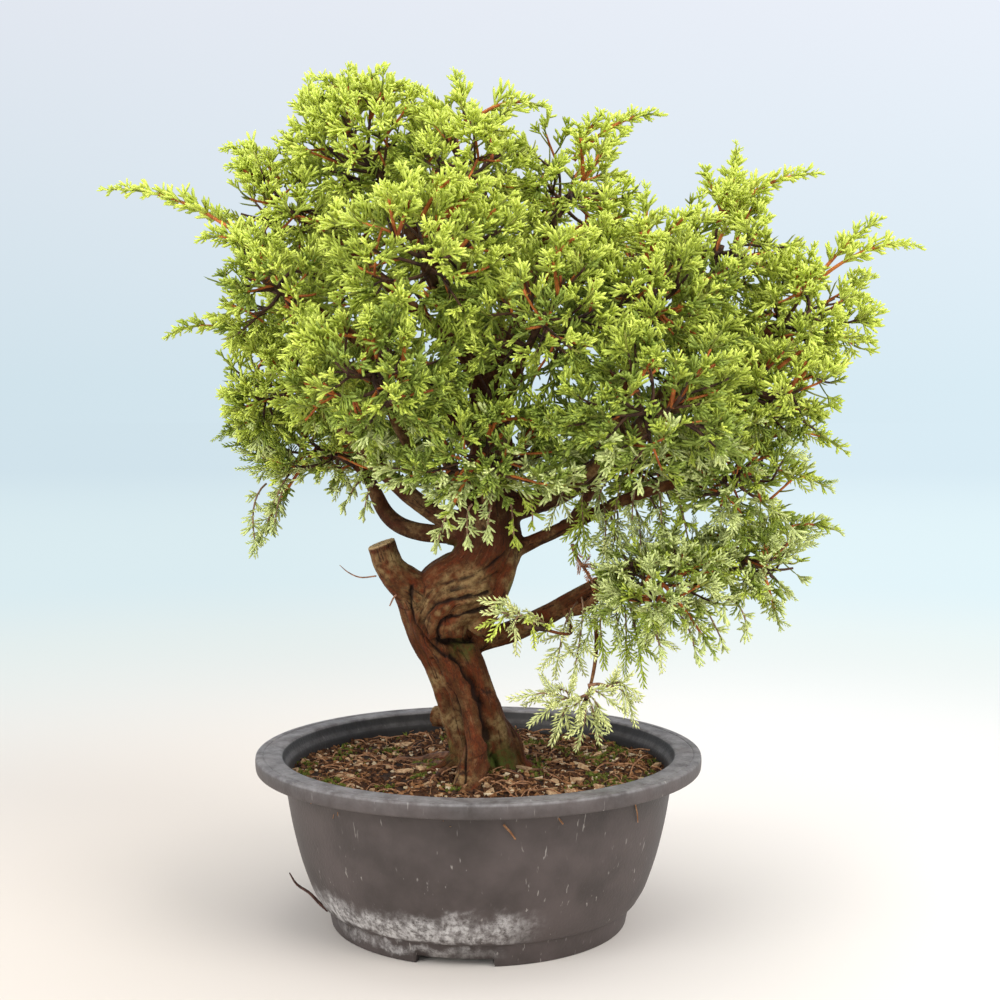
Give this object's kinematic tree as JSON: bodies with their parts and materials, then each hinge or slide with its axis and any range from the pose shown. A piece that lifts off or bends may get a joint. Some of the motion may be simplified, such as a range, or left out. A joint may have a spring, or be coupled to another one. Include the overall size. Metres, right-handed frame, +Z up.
{
  "type": "itoigawa chinese juniper bonsai",
  "caption": "Fine-leaved juniper bonsai with a bent, fluted trunk, a sawn stub and tufts of scale foliage, in a round plastic training pot.",
  "frame": {"origin": "centre of the whole plant's box, at the level of the pot's underside", "axes": "+Z up, the front of the tree towards -Y, its longest shoots towards -X and +X"},
  "size_m": [0.356, 0.2, 0.379],
  "materials": {
    "pot": "matt, scuffed",
    "soil": "loose bark and peat chips",
    "bark": "rough bark",
    "foliage": "scale leaves"
  },
  "bodies": {
    "root": {"bough_back_left": "bark", "bough_back_left_low": "bark", "bough_back_middle": "bark", "bough_back_right": "bark", "bough_back_right_low": "bark", "bough_back_right_top": "bark", "bough_back_top": "bark", "bough_hanging_tuft": "bark", "bough_heart": "bark", "bough_knee_sprig": "bark", "bough_left_front": "bark", "bough_left_low": "bark", "bough_left_middle": "bark", "bough_left_upper": "bark", "bough_middle_front": "bark", "bough_right_foot": "bark", "bough_right_front": "bark", "bough_right_heart": "bark", "bough_right_low": "bark", "bough_right_middle": "bark", "bough_right_skirt": "bark", "bough_right_top": "bark", "bough_right_upper": "bark", "bough_skirt_front": "bark", "bough_top_left": "bark", "bough_top_middle": "bark", "bough_top_right": "bark", "foliage_back_left": "foliage", "foliage_back_left_low": "foliage", "foliage_back_middle": "foliage", "foliage_back_right": "foliage", "foliage_back_right_low": "foliage", "foliage_back_right_top": "foliage", "foliage_back_top": "foliage", "foliage_crown_top": "foliage", "foliage_hanging_tuft": "foliage", "foliage_heart": "foliage", "foliage_knee_sprig": "foliage", "foliage_left_front": "foliage", "foliage_left_low": "foliage", "foliage_left_middle": "foliage", "foliage_left_upper": "foliage", "foliage_middle_front": "foliage", "foliage_right_foot": "foliage", "foliage_right_front": "foliage", "foliage_right_heart": "foliage", "foliage_right_low": "foliage", "foliage_right_middle": "foliage", "foliage_right_skirt": "foliage", "foliage_right_top": "foliage", "foliage_right_upper": "foliage", "foliage_skirt_front": "foliage", "foliage_top_left": "foliage", "foliage_top_middle": "foliage", "foliage_top_right": "foliage", "pot": "pot", "soil": "soil", "trunk": "bark"}
  },
  "joints": []
}
